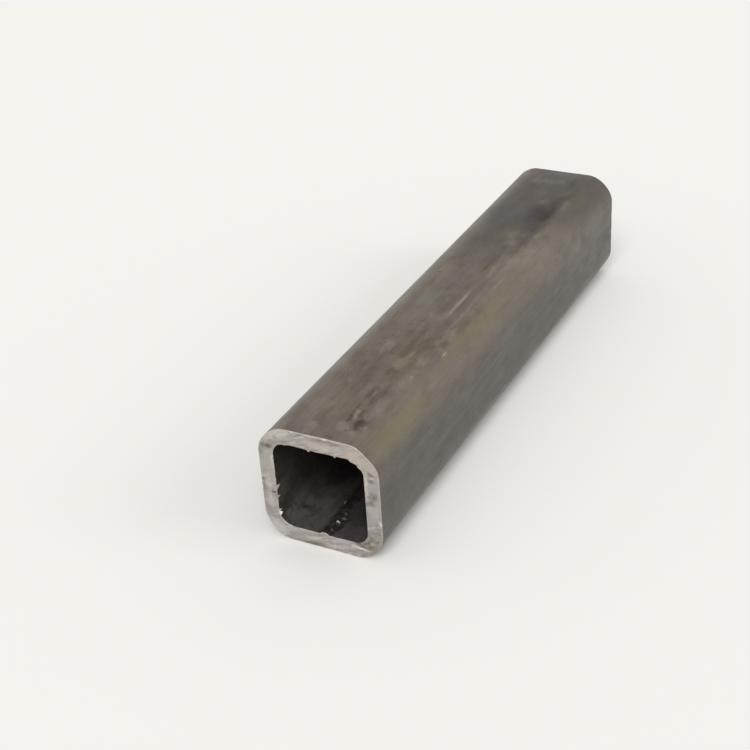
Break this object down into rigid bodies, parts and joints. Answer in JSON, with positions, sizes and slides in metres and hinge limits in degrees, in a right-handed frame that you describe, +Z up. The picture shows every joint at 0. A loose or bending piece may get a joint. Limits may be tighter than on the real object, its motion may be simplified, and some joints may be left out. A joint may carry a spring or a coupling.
{
  "type": "square steel tube",
  "caption": "Short sawn length of square steel tube with large rolled corners, a thick wall and a weld flash along the inside; stock for framing, legs, brackets and sleeves.",
  "frame": {"origin": "middle of the footprint, at the level of the surface that the tube lies on", "axes": "+X across the tube, +Y along the tube from the front end to the back end, +Z up; the wall that carries the weld is the bottom one"},
  "size_m": [0.04, 0.2, 0.04],
  "materials": {
    "mill_steel": "unpainted hot-rolled mill scale, matt to satin, with bare sawn ends"
  },
  "bodies": {
    "root": {"square_tube": "mill_steel"}
  },
  "joints": []
}
